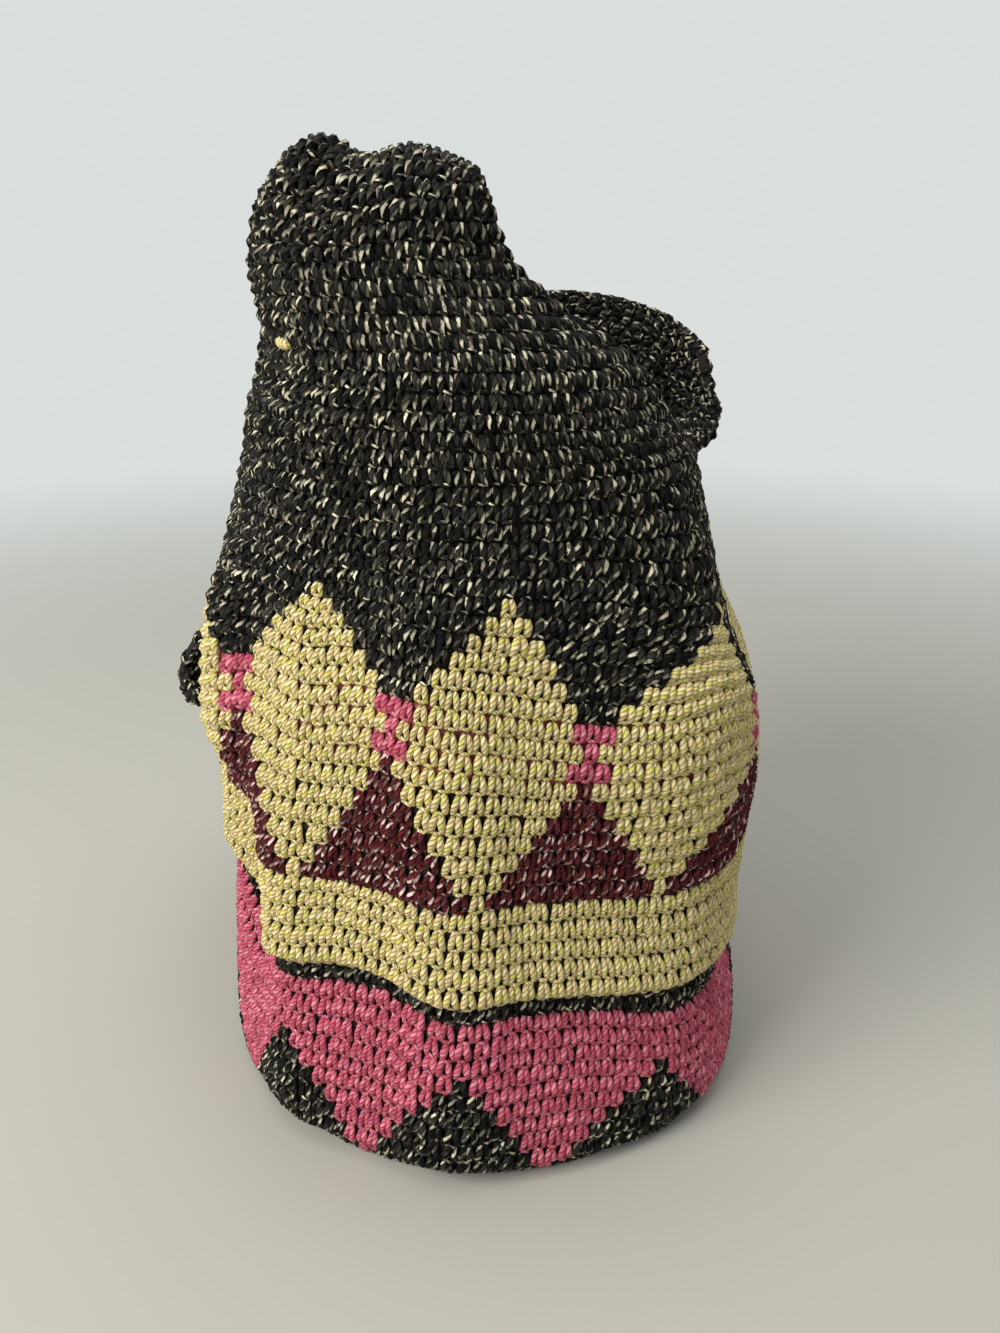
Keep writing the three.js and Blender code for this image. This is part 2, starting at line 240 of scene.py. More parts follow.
def column_point(row, turn):
    """The wall by column: turn is the column's angle before the columns drift."""
    row, turn = np.broadcast_arrays(np.asarray(row, float), np.asarray(turn, float))
    row = np.clip(row, 0, WALL_ROWS)
    place = np.interp((turn + 180) % 360 - 180, DRIFT_COLUMNS, np.arange(len(DRIFT_COLUMNS)))
    before = np.minimum(place.astype(int), len(DRIFT_COLUMNS) - 2)[..., None]
    share = place - before[..., 0]
    drifts = follow(DRIFT_AT, row)
    left = np.take_along_axis(drifts, before, axis=-1)[..., 0]
    right = np.take_along_axis(drifts, before + 1, axis=-1)[..., 0]
    return wall_point(row, turn + left + share * (right - left))


def strap_line_point(row, across):
    return strap_point(np.clip(row, WALL_ROWS, LAST_ROW), across)


# The base is worked in rounds, each with so many stitches more than the one before it. Its surface stops
# just short of the middle and half a round past the last.
BASE_ROUNDS = 18
BASE_INCREASE = 7
FIRST_ROUND = 0.02
PAST_LAST_ROUND = 0.5


def base_point(row, turn):
    """The round base: row counts the rounds outwards from the middle."""
    row, turn = np.broadcast_arrays(np.asarray(row, float), np.asarray(turn, float))
    radius = np.clip(row, FIRST_ROUND, BASE_ROUNDS + PAST_LAST_ROUND) / BASE_ROUNDS * BASE_RADIUS
    a = np.radians(turn)
    return np.stack([radius * np.sin(a), -radius * np.cos(a), np.full(row.shape, HALF)], axis=-1)


# Steps over which a surface's directions are taken
SMALL_ROW = 0.15
SMALL_TURN = 1.0
SMALL_ACROSS = 0.02
SMALL_PITCH = 0.2


def skin(surface, row, x, small_x):
    """Points of a surface and its outward directions there."""
    along = surface(row + SMALL_ROW, x) - surface(row - SMALL_ROW, x)
    right = surface(row, x + small_x) - surface(row, x - small_x)
    normal = np.cross(right, along)
    return surface(row, x), normal / np.maximum(length_of(normal), TINY)


# Stitch pattern of the wall: its yarns, and the last row of each part of it
REPEAT = 14
REPEATS = 9
WALL_STITCHES = REPEAT * REPEATS
DARK, CREAM, PINK, MAROON = range(4)
FOOT_ROWS = 7
PINK_ROWS = 10
GAP_ROWS = 12
BAND_ROWS = 17
LOWER_DIAMOND_ROWS = 24
BOW_ROWS = 27
UPPER_DIAMOND_ROWS = 33
# How far a bow reaches to each side of its middle stitch, by row
BOW_REACH = {25: 1, 26: 0, 27: 1}
# The plain top is drawn in after these rows, by one stitch in every repeat
DRAWN_IN_AFTER = (34, 37)


def yarn_of(row, stitch):
    """Which yarn a stitch of the wall shows, by its row and its number round the bag."""
    place = stitch % REPEAT
    from_edge = min(place, REPEAT - place)
    from_middle = abs(place - REPEAT // 2)
    if row <= FOOT_ROWS:
        return DARK if from_edge <= FOOT_ROWS - row else PINK
    if row <= PINK_ROWS:
        return PINK
    if row <= GAP_ROWS:
        return DARK
    if row <= BAND_ROWS:
        return CREAM
    if row <= LOWER_DIAMOND_ROWS:
        return MAROON if from_middle <= LOWER_DIAMOND_ROWS - row else CREAM
    if row <= BOW_ROWS:
        return PINK if from_middle <= BOW_REACH[row] else CREAM
    if row <= UPPER_DIAMOND_ROWS:
        return DARK if from_middle <= row - BOW_ROWS else CREAM
    return DARK


def wall_stitches(row):
    """Stitches in a round of the wall."""
    return WALL_STITCHES - REPEATS * sum(row > last for last in DRAWN_IN_AFTER)


# Stitches lie closer at the mouth than in the strap, and change over so many rows
MOUTH_PITCH = 4.25
STRAP_PITCH = 4.8
PITCH_ROWS = 12
FEWEST_STITCHES = 8


def strap_stitches(row):
    """Stitches in a row of the panels and strap, from the row's own length."""
    middle = np.array(row - 0.5)
    *_, radius, sweep = strap_arc(middle)
    from_mouth = smooth((min(row - WALL_ROWS, LAST_ROW - row)) / PITCH_ROWS)
    pitch = MOUTH_PITCH + (STRAP_PITCH - MOUTH_PITCH) * from_mouth
    return max(int(round(float(radius[0] * sweep[0]) / pitch)), FEWEST_STITCHES)


# No stitch sits quite at its place: how far it is off, in rows and in stitches across
ROW_WANDER = 0.045
ACROSS_WANDER = 0.05


def stitch_list(stitches):
    """Arrays of rows, places across, pitches and yarns, from one of each for every stitch."""
    rows, xs, pitches, yarns = zip(*stitches)
    return np.array(rows, float), np.array(xs), np.array(pitches), np.array(yarns)


def wandering(stitches):
    """The same arrays, with each stitch a little off its place."""
    rows, xs, pitches, yarns = stitch_list(stitches)
    rows = rows + rng.normal(0, ROW_WANDER, len(rows))
    xs = xs + pitches * rng.normal(0, ACROSS_WANDER, len(rows))
    return rows, xs, pitches, yarns


def wall_list(first, last):
    """The wall's stitches from one round to another, their places and pitches in degrees."""
    stitches = []
    for row in range(first, last + 1):
        count = wall_stitches(row)
        for stitch in range(count):
            stitches.append((row, 360 * stitch / count, 360 / count, yarn_of(row, stitch)))
    return wandering(stitches)


def strap_list(first, last):
    """The stitches of the panels and strap, their places and pitches across from -1 to 1."""
    stitches = []
    for row in range(first, last + 1):
        count = strap_stitches(row)
        for stitch in range(count):
            stitches.append((row, -1 + 2 * (stitch + 0.5) / count, 2 / count, DARK))
    return wandering(stitches)


def base_list():
    """The base's stitches, their places and pitches in degrees."""
    stitches = []
    for row in range(1, BASE_ROUNDS + 1):
        count = BASE_INCREASE * row
        for stitch in range(count):
            stitches.append((row, 360 * (stitch + 0.5) / count, 360 / count, DARK))
    return stitch_list(stitches)


# Strands of a stitch: (across in stitches, up in rows, out in mm, radius in mm) from end to end.
# Across 0 is the middle of the column.
LEFT_LEG = [(-0.35, -0.16, -1.4, 0), (-0.34, 0.06, 0.0, 1.1), (-0.27, 0.44, 1.05, 1.3),
            (-0.18, 0.8, 0.25, 1.06), (-0.08, 1.08, -1.2, 0)]
RIGHT_LEG = [(0.07, 1.08, -1.2, 0), (0.15, 0.8, 0.25, 1.04), (0.24, 0.46, 1.05, 1.3),
             (0.33, 0.08, 0.1, 1.12), (0.36, -0.14, -1.2, 0)]
FOOT_LOOP = [(-0.46, 0.12, -0.6, 0), (-0.18, 0.02, 0.55, 0.78), (0.14, -0.02, 0.6, 0.84),
             (0.44, 0.1, -0.6, 0)]
# The wrong side: a bar across the row, and a leg and a post under it
BACK_BAR = [(-0.5, 0.58, -0.5, 0), (-0.25, 0.7, 0.7, 1.25), (0.2, 0.74, 0.75, 1.3), (0.52, 0.6, -0.5, 0)]
BACK_LEG = [(0.3, 0.62, -0.5, 0), (0.2, 0.4, 0.55, 1.25), (-0.12, 0.14, 0.5, 1.25), (-0.34, -0.1, -0.6, 0)]
BACK_POST = [(-0.42, 0.55, -0.5, 0), (-0.36, 0.34, 0.3, 1.0), (-0.3, 0.1, 0.3, 1.0), (-0.26, -0.08, -0.6, 0)]
# The wrong side inside the bag, where it is seen only from afar
INSIDE_BAR = [(-0.5, 0.45, -0.6, 0), (-0.2, 0.58, 0.4, 1.1), (0.25, 0.56, 0.4, 1.1), (0.52, 0.42, -0.6, 0)]

# The strands of each kind of fabric, and how many sides their tubes have
SIDES = 6
FOOT_SIDES = 5
HIDDEN_SIDES = 4
OUTER_STRANDS = [(LEFT_LEG, SIDES), (RIGHT_LEG, SIDES), (FOOT_LOOP, FOOT_SIDES)]
WRONG_STRANDS = [(BACK_BAR, HIDDEN_SIDES), (BACK_LEG, HIDDEN_SIDES), (BACK_POST, HIDDEN_SIDES)]
BASE_STRANDS = [(LEFT_LEG, HIDDEN_SIDES), (RIGHT_LEG, HIDDEN_SIDES)]
INSIDE_STRANDS = [(INSIDE_BAR, HIDDEN_SIDES)]

# How far out of the middle surface strands lie, in mm, and how much flatter than round they are
STRAND_LEVEL = 1.9
BASE_LEVEL = 0.9
DEPTH_SHARE = 0.95
# How much one strand differs from the next: across in stitches, up in rows, out in mm, and in radius
ACROSS_JITTER = 0.02
UP_JITTER = 0.02
OUT_JITTER = 0.1
RADIUS_JITTER = 0.06
# Strands are thicker where stitches are wider, within limits
USUAL_PITCH = 4.9
SCALE_LIMITS = (0.7, 1.15)

# The margin of each strand's cell in the layout that its colours are baked to
BAKE_MARGIN = 0.08
# The size that a sheet has in the layout where strands are measured in mm
SHEET_LENGTH = 100


def tube_faces(rings, sides):
    """Faces of a tube closed to a point at both ends, with each corner's ring and place round the ring.

    Points are counted ring by ring, and the two end points come last. The ends are rings too."""
    quads, quad_places, triangles, triangle_places = [], [], [], []
    for ring in range(rings - 1):
        for s in range(sides):
            t = (s + 1) % sides
            quads.append((ring * sides + s, ring * sides + t, (ring + 1) * sides + t, (ring + 1) * sides + s))
            quad_places.append(((ring + 1, s), (ring + 1, s + 1), (ring + 2, s + 1), (ring + 2, s)))
    last = (rings - 1) * sides
    for s in range(sides):
        t = (s + 1) % sides
        triangles.append((rings * sides, t, s))
        triangle_places.append(((0, s + 0.5), (1, s + 1), (1, s)))
        triangles.append((rings * sides + 1, last + s, last + t))
        triangle_places.append(((rings + 1, s + 0.5), (rings, s), (rings, s + 1)))
    return (quads, quad_places), (triangles, triangle_places)


class Piece:
    """Gathers strands and sheets, and writes them as one mesh with its yarns as materials.

    Quads and triangles are kept as lists of four arrays: the faces, their corners' places along and
    round the strand in mm and turns, their corners' strand and place in it as shares, and their yarns."""

    def __init__(self, name):
        self.name = name
        self.points = []
        self.seeds = []
        self.quads = []
        self.triangles = []
        self.count = 0
        self.strands = 0

    def add_strands(self, centres, normals, radii, yarns, sides=SIDES):
        """One tube per row of centres (n, k, 3), closed to a point at both ends."""
        n, k, _ = centres.shape
        rings = k - 2
        along = np.gradient(centres, axis=1)
        along /= np.maximum(length_of(along), TINY)
        side = np.cross(along, normals)
        side /= np.maximum(length_of(side), TINY)
        up = np.cross(side, along)
        turn = np.arange(sides) / sides * 2 * np.pi
        cos = np.cos(turn)[None, None, :, None]
        sin = np.sin(turn)[None, None, :, None] * DEPTH_SHARE
        inner = slice(1, k - 1)
        arms = cos * side[:, inner, None, :] + sin * up[:, inner, None, :]
        ring_points = centres[:, inner, None, :] + radii[:, inner, None, None] * arms
        points = np.concatenate(
            [ring_points.reshape(n, rings * sides, 3), centres[:, :1], centres[:, -1:]], axis=1)
        per_strand = rings * sides + 2
        start = self.count + np.arange(n)[:, None, None] * per_strand
        steps = length_of(np.diff(centres, axis=1))[..., 0]
        distance = np.concatenate([np.zeros((n, 1)), np.cumsum(steps, axis=1)], axis=1)
        seed = rng.random(n)
        strand = (self.strands + np.arange(n))[:, None, None]
        for (faces, places), group in zip(tube_faces(rings, sides), (self.quads, self.triangles)):
            faces, places = np.array(faces), np.array(places)
            ring = places[..., 0].astype(int)
            shape = (n,) + ring.shape
            turned = np.broadcast_to(places[..., 1] / sides, shape)
            share = np.broadcast_to(ring / (k - 1), shape)
            group.append((
                (start + faces).reshape(-1, faces.shape[1]),
                np.stack([distance[:, ring], turned + seed[:, None, None]], axis=-1),
                np.stack([np.broadcast_to(strand, shape), share, turned], axis=-1),
                np.repeat(yarns, len(faces))))
        self.points.append(points.reshape(-1, 3))
        self.seeds.append(np.repeat(seed, per_strand))
        self.count += n * per_strand
        self.strands += n

    def add_sheet(self, grid, closed=False, yarn_rows=None):
        """A grid of points (rows, columns, 3) as one sheet of faces; yarn_rows is a yarn for each row."""
        rows, columns, _ = grid.shape
        index = self.count + np.arange(rows * columns).reshape(rows, columns)
        if closed:
            index = np.concatenate([index, index[:, :1]], axis=1)
        faces = np.stack([index[:-1, :-1], index[:-1, 1:], index[1:, 1:], index[1:, :-1]], axis=-1)
        u = np.linspace(0, 1, index.shape[1])[None, :] + np.zeros(index.shape)
        v = np.linspace(0, 1, rows)[:, None] + np.zeros(index.shape)
        uv = np.stack([u, v], axis=-1)
        corners = np.stack([uv[:-1, :-1], uv[:-1, 1:], uv[1:, 1:], uv[1:, :-1]], axis=-2)
        strand = np.full(corners.shape[:-1] + (1,), self.strands)
        yarn_rows = np.zeros(rows - 1, int) if yarn_rows is None else yarn_rows
        self.quads.append((
            faces.reshape(-1, 4),
            corners * SHEET_LENGTH,
            np.concatenate([strand, corners], axis=-1),
            np.repeat(yarn_rows, index.shape[1] - 1)))
        self.points.append(grid.reshape(-1, 3))
        self.seeds.append(np.zeros(rows * columns))
        self.count += rows * columns
        self.strands += 1

    def write(self, materials):
        """Makes the mesh and its object, which stands for the whole bag with the other pieces."""
        groups = self.quads + self.triangles
        faces = [face for group in groups for face in group[0].tolist()]
        plies = np.concatenate([group[1].reshape(-1, 2) for group in groups])
        strand, share, turned = np.concatenate([group[2].reshape(-1, 3) for group in groups]).T
        yarns = np.concatenate([group[3] for group in groups])

        mesh = bpy.data.meshes.new(self.name)
        mesh.from_pydata((np.concatenate(self.points) * MM).tolist(), [], faces)
        mesh.polygons.foreach_set("material_index", yarns.astype(np.int32))
        mesh.polygons.foreach_set("use_smooth", np.ones(len(yarns), bool))
        ply_layer = mesh.uv_layers.new(name="Plies")
        ply_layer.data.foreach_set("uv", plies.astype(np.float32).ravel())

        cells_across = math.ceil(math.sqrt(self.strands))
        within = 1 - 2 * BAKE_MARGIN
        bake = np.stack([(strand % cells_across + BAKE_MARGIN + within * turned) / cells_across,
                         (strand // cells_across + BAKE_MARGIN + within * share) / cells_across], axis=-1)
        bake_layer = mesh.uv_layers.new(name="OFBake")
        bake_layer.data.foreach_set("uv", bake.astype(np.float32).ravel())

        seeds = mesh.attributes.new("seed", "FLOAT", "POINT")
        seeds.data.foreach_set("value", np.concatenate(self.seeds).astype(np.float32))
        for material in materials:
            mesh.materials.append(material)
        mesh.validate()
        mesh.update()
        piece = bpy.data.objects.new(self.name, mesh)
        bpy.context.scene.collection.objects.link(piece)
        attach(piece, "root")
        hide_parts(CAD_NODE)


def add_strand(piece, surface, stitches, strand, sides, side, level):
    """One strand of every listed stitch."""
    rows, xs, pitches, yarns = stitches
    shape = np.array(strand, float)
    n = len(rows)
    across = shape[:, 0] * side + rng.normal(0, ACROSS_JITTER, (n, 1))
    up = shape[:, 1] + rng.normal(0, UP_JITTER, (n, 1))
    x = xs[:, None] + across * pitches[:, None]
    row = rows[:, None] - 1 + up
    points, normals = skin(surface, row, x, pitches[:, None] * SMALL_PITCH)
    normals = normals * side
    pitch_mm = length_of(surface(rows - 0.5, xs + pitches / 2) - surface(rows - 0.5, xs - pitches / 2))
    scale = np.clip(pitch_mm / USUAL_PITCH, *SCALE_LIMITS)
    out = level + (shape[:, 2] + rng.normal(0, OUT_JITTER, (n, 1))) * np.minimum(scale, 1)
    radii = shape[:, 3] * scale * (1 + rng.normal(0, RADIUS_JITTER, (n, 1)))
    piece.add_strands(points + normals * out[..., None], normals, radii, yarns, sides)


def add_stitches(piece, surface, stitches, strands, side=1, level=STRAND_LEVEL):
    """All the strands of the listed stitches, on the outer side or, with side -1, on the wrong one."""
    for strand, sides in strands:
        add_strand(piece, surface, stitches, strand, sides, side, level)


class Nodes:
    """The nodes of a material or of the world, with short ways to add and join them."""

    def __init__(self, owner):
        owner.use_nodes = True
        self.tree = owner.node_tree
        self.tree.nodes.clear()

    def add(self, kind):
        return self.tree.nodes.new(kind)

    def feed(self, socket, value):
        """Joins another node's output to a socket, or sets the socket to a number or a colour."""
        if isinstance(value, bpy.types.NodeSocket):
            self.tree.links.new(value, socket)
        else:
            socket.default_value = value

    def maths(self, operation, *values):
        node = self.add("ShaderNodeMath")
        node.operation = operation
        for socket, value in zip(node.inputs, values):
            self.feed(socket, value)
        return node.outputs[0]

    def vector_maths(self, operation, vector):
        node = self.add("ShaderNodeVectorMath")
        node.operation = operation
        self.feed(node.inputs[0], vector)
        return node

    def map_range(self, value, to_range, from_range=(0, 1), interpolation="LINEAR"):
        node = self.add("ShaderNodeMapRange")
        node.interpolation_type = interpolation
        self.feed(node.inputs["Value"], value)
        for name, number in zip(("From Min", "From Max", "To Min", "To Max"), (*from_range, *to_range)):
            node.inputs[name].default_value = number
        return node.outputs[0]

    def place(self):
        """A point's place in its object."""
        return self.add("ShaderNodeTexCoord").outputs["Object"]

    def noise(self, scale, detail):
        node = self.add("ShaderNodeTexNoise")
        node.inputs["Scale"].default_value = scale
        node.inputs["Detail"].default_value = detail
        self.feed(node.inputs["Vector"], self.place())
        return node.outputs["Fac"]

    def ramp(self, value, stops):
        """A run of colours, from pairs of place and colour."""
        node = self.add("ShaderNodeValToRGB")
        elements = node.color_ramp.elements
        for element, (place, colour) in zip(elements, (stops[0], stops[-1])):
            element.position = place
            element.color = (*colour, 1)
        for place, colour in stops[1:-1]:
            elements.new(place).color = (*colour, 1)
        self.feed(node.inputs[0], value)
        return node.outputs["Color"]

    def mix_colours(self, factor, a, b):
        node = self.add("ShaderNodeMix")
        node.data_type = "RGBA"
        for name, value in (("Factor", factor), ("A", a), ("B", b)):
            self.feed(node.inputs[name], value)
        return node.outputs["Result"]

    def mix_shaders(self, factor, a, b):
        node = self.add("ShaderNodeMixShader")
        for socket, value in zip(node.inputs, (factor, a, b)):
            self.feed(socket, value)
        return node.outputs[0]

    def bump(self, height, distance, strength=1.0):
        node = self.add("ShaderNodeBump")
        node.inputs["Strength"].default_value = strength
        node.inputs["Distance"].default_value = distance
        self.feed(node.inputs["Height"], height)
        return node.outputs[0]


def new_material(name):
    """A material, its nodes, its shader and its output."""
    material = bpy.data.materials.new(name)
    nodes = Nodes(material)
    output = nodes.add("ShaderNodeOutputMaterial")
    shader = nodes.add("ShaderNodeBsdfPrincipled")
    nodes.feed(output.inputs[0], shader.outputs[0])
    return material, nodes, shader, output


# Yarns: plies laid round each other, parted by soft edges
PLIES = 4
EDGE_SOFTNESS = 0.015
RIDGE_ROUNDNESS = 0.5
# Painted shade that darkens the base colour in the grooves between plies, and a painted highlight that lifts
# it a little on their ridges
PAINTED_GROOVE_SHADE_AND_RIDGE_LIGHT = (0.5, 1.08)
GROOVE_ROUGHNESS = 0.93
RIDGE_ROUGHNESS = 0.75
# Strands differ in shade by a number that jumbles their seeds
SHADE_JUMBLE = 7.31
# Fine fibres along every ply
FIBRE_SCALE = 2600
FIBRE_DETAIL = 2
FIBRE_RANGE = (0.3, 0.7)
FIBRE_SHADES = (0.8, 1.16)
FIBRE_HEIGHT = 0.35
YARN_BUMP = 0.0004
YARN_BUMP_STRENGTH = 0.9
# Pale threads: where round the strand they lie with a number that jumbles each one's paleness, how wide
# they are to each side, how pale they are from strand to strand, and the patches that they come and go in
FLECK_PLIES = [(0.375, 31.7), (0.875, 71.3)]
FLECK_HALF = 0.085
FLECK_RANGE = (0.15, 0.9)
FLECK_PALENESS = (0, 1.2)
PATCH_SCALE = 420
PATCH_DETAIL = 1
PATCH_RANGE = (0.44, 0.56)
PATCH_PALENESS = (0.12, 1)


def ply_stops(plies):
    """The places and colours round a strand where one ply gives way to the next."""
    stops = [(0, plies[0])]
    for k in range(1, PLIES):
        stops.append((k / PLIES - EDGE_SOFTNESS, plies[k - 1]))
        stops.append((k / PLIES + EDGE_SOFTNESS, plies[k]))
    return stops + [(1, plies[-1])]


def add_flecks(nodes, colour, around, seed, fleck):
    """Lays pale threads along some of the plies, stronger in one strand than in another."""
    patches = nodes.map_range(nodes.noise(PATCH_SCALE, PATCH_DETAIL), PATCH_PALENESS, PATCH_RANGE)
    for place, jumble in FLECK_PLIES:
        near = nodes.maths("ABSOLUTE", nodes.maths("SUBTRACT", around, place))
        on_ply = nodes.map_range(near, (1, 0), (FLECK_HALF, FLECK_HALF + EDGE_SOFTNESS))
        pick = nodes.maths("FRACT", nodes.maths("MULTIPLY", seed, jumble))
        paleness = nodes.maths("MULTIPLY", patches, nodes.map_range(pick, FLECK_PALENESS, FLECK_RANGE))
        colour = nodes.mix_colours(nodes.maths("MULTIPLY", on_ply, paleness), colour, (*fleck, 1))
    return colour


def yarn_material(name, plies, twist_length, shades, fleck=None, gloss=0.3):
    """A yarn whose plies turn once round the strand in each twist length, in mm."""
    material, nodes, shader, _ = new_material(name)
    plan = nodes.add("ShaderNodeUVMap")
    plan.uv_map = "Plies"
    split = nodes.add("ShaderNodeSeparateXYZ")
    nodes.feed(split.inputs[0], plan.outputs[0])
    turned = nodes.maths("MULTIPLY", split.outputs[0], 1 / twist_length)
    around = nodes.maths("FRACT", nodes.maths("ADD", split.outputs[1], turned))
    attribute = nodes.add("ShaderNodeAttribute")
    attribute.attribute_name = "seed"
    seed = attribute.outputs["Fac"]

    colour = nodes.ramp(around, ply_stops(plies))
    if fleck:
        colour = add_flecks(nodes, colour, around, seed, fleck)

    pick = nodes.maths("FRACT", nodes.maths("MULTIPLY", seed, SHADE_JUMBLE))
    fibre = nodes.noise(FIBRE_SCALE, FIBRE_DETAIL)
    wave = nodes.maths("SINE", nodes.maths("MULTIPLY", around, math.pi * PLIES))
    ridge = nodes.maths("POWER", nodes.maths("ABSOLUTE", wave), RIDGE_ROUNDNESS)
    strength = nodes.maths(
        "MULTIPLY", nodes.map_range(pick, shades), nodes.map_range(fibre, FIBRE_SHADES, FIBRE_RANGE))
    # Painted shade in the ply grooves and a painted highlight on the ply ridges, laid into the base colour
    strength = nodes.maths("MULTIPLY", strength, nodes.map_range(ridge, PAINTED_GROOVE_SHADE_AND_RIDGE_LIGHT))
    tint = nodes.vector_maths("SCALE", colour)
    nodes.feed(tint.inputs["Scale"], strength)
    nodes.feed(shader.inputs["Base Color"], tint.outputs[0])

    height = nodes.maths("ADD", ridge, nodes.maths("MULTIPLY", fibre, FIBRE_HEIGHT))
    nodes.feed(shader.inputs["Normal"], nodes.bump(height, YARN_BUMP, YARN_BUMP_STRENGTH))
    nodes.feed(shader.inputs["Roughness"], nodes.map_range(ridge, (GROOVE_ROUGHNESS, RIDGE_ROUGHNESS)))
    shader.inputs["Specular IOR Level"].default_value = gloss
    return material


# The yarn carried inside the fabric, darkened as painted shade where it shows between the stitches
CORE_SCALE = 420
CORE_DETAIL = 3
CORE_EDGES = (0.35, 0.7)
CORE_BUMP = 0.0006
CORE_ROUGHNESS = 0.95


def core_material_with_painted_shade(name, deep, light):
    """Carried yarn, darkened as painted shade where it is seen between the stitches."""
    material, nodes, shader, _ = new_material(name)
    noise = nodes.noise(CORE_SCALE, CORE_DETAIL)
    nodes.feed(shader.inputs["Base Color"], nodes.ramp(noise, list(zip(CORE_EDGES, (deep, light)))))
    nodes.feed(shader.inputs["Normal"], nodes.bump(noise, CORE_BUMP))
    shader.inputs["Roughness"].default_value = CORE_ROUGHNESS
    return material


CHARCOAL = (0.0075, 0.007, 0.006)
BLACK = (0.004, 0.004, 0.0035)
GREY = (0.026, 0.024, 0.019)
OATMEAL = (0.60, 0.55, 0.39)
CREAM_BEIGE = (0.68, 0.53, 0.235)
CREAM_PALE = (0.76, 0.64, 0.34)
CREAM_LIME = (0.64, 0.56, 0.14)
ROSE = (0.60, 0.115, 0.175)
ROSE_LIGHT = (0.72, 0.22, 0.28)
ROSE_DEEP = (0.46, 0.075, 0.12)
BURGUNDY = (0.10, 0.013, 0.017)
BURGUNDY_DEEP = (0.045, 0.007, 0.009)
BLUSH = (0.78, 0.58, 0.50)
# Deep and light colours of the carried yarns. They are darker than the yarns they carry, as painted shade for
# the gaps between the stitches
CARRIED_DARK_AND_PAINTED_SHADE = [(0.005, 0.004, 0.0035), (0.022, 0.013, 0.010)]
CARRIED_PINK_AND_PAINTED_SHADE = [(0.05, 0.010, 0.012), (0.42, 0.09, 0.09)]

# In the order of the yarns' numbers. The marls have a longer twist and less gloss than the plain yarns.
PLAIN_TWIST = 6.2
MARL_TWIST = 8.5
MARL_GLOSS = 0.12
YARNS = [
    yarn_material("dark_marl_yarn", [BLACK, CHARCOAL, GREY, CHARCOAL], MARL_TWIST, (0.6, 1.3),
                  OATMEAL, MARL_GLOSS),
    yarn_material("cream_yarn", [CREAM_BEIGE, CREAM_PALE, CREAM_LIME, CREAM_PALE], PLAIN_TWIST, (0.88, 1.1)),
    yarn_material("pink_yarn", [ROSE, ROSE_LIGHT, ROSE, ROSE_DEEP], PLAIN_TWIST, (0.88, 1.12)),
    yarn_material("maroon_yarn", [BURGUNDY, BURGUNDY_DEEP, BURGUNDY, BURGUNDY], MARL_TWIST, (0.75, 1.2),
                  BLUSH, MARL_GLOSS),
]
CORE = [core_material_with_painted_shade("carried_dark_yarn_and_painted_shade", *CARRIED_DARK_AND_PAINTED_SHADE), core_material_with_painted_shade("carried_pink_yarn_and_painted_shade", *CARRIED_PINK_AND_PAINTED_SHADE)]

# The wall, in bands that keep each piece of a fair size
WALL_BANDS = {"wall_lower": (1, 13), "wall_middle": (14, 27), "wall_upper": (28, 39)}


def build_wall():
    for name, (first, last) in WALL_BANDS.items():
        band = Piece(name)
        add_stitches(band, column_point, wall_list(first, last), OUTER_STRANDS)
        band.write(YARNS)


# The turning of the yarn at both ends of each row of the panels and strap
EDGE_STRAND = [(-0.35, 0.2, 1.7, 0), (-0.02, 0.3, 1.6, 0.85), (0.22, 0.5, 0.0, 0.95),
               (-0.02, 0.7, -1.6, 0.85), (-0.35, 0.8, -1.7, 0)]
EDGE_JITTER = 0.01
EDGE_OUTWARD = 0.01


def add_edges(piece, first, last):
    shape = np.array(EDGE_STRAND)
    rows = np.arange(first, last + 1, dtype=float)
    pitches = np.array([2 / strap_stitches(row) for row in range(first, last + 1)])
    radii = np.broadcast_to(shape[:, 3], (len(rows), len(shape)))
    for end in (-1, 1):
        x = end * (1 + shape[:, 0] * pitches[:, None] + rng.normal(0, EDGE_JITTER, (len(rows), 1)))
        row = rows[:, None] - 1 + shape[:, 1]
        points, normals = skin(strap_line_point, row, x, SMALL_ACROSS)
        outward = strap_line_point(row, x + end * EDGE_OUTWARD) - points
        outward = outward / length_of(outward)
        piece.add_strands(points + normals * shape[:, 2][:, None], outward, radii, np.full(len(rows), DARK))


# A slub in the yarn near the left end of a row: its rows, places across, radii and level in mm
SLUB_ROWS = [[46.3, 46.2, 46.1, 46.0, 45.9]]
SLUB_ACROSS = [[-0.58, -0.55, -0.52, -0.49, -0.46]]
SLUB_RADII = [[0, 1.5, 1.9, 1.5, 0]]
SLUB_LEVEL = 3.4


def add_slub(piece):
    points, normals = skin(strap_line_point, np.array(SLUB_ROWS), np.array(SLUB_ACROSS), SMALL_ACROSS)
    piece.add_strands(points + normals * SLUB_LEVEL, normals, np.array(SLUB_RADII), np.array([CREAM]))


STRAP_PARTS = {
    "front_panel": (40, 56), "strap_down": (57, 98), "strap_up": (99, 138), "back_panel": (139, 153)}


def build_strap():
    for name, (first, last) in STRAP_PARTS.items():
        part = Piece(name)
        stitches = strap_list(first, last)
        add_stitches(part, strap_line_point, stitches, OUTER_STRANDS)
        add_stitches(part, strap_line_point, stitches, WRONG_STRANDS, side=-1)
        add_edges(part, first, last)
        if name == "front_panel":
            add_slub(part)
        part.write(YARNS)


def build_base():
    base = Piece("base")
    stitches = base_list()
    add_stitches(base, base_point, stitches, BASE_STRANDS, level=BASE_LEVEL)
    add_stitches(base, base_point, stitches, INSIDE_STRANDS, side=-1)
    base.write(YARNS)


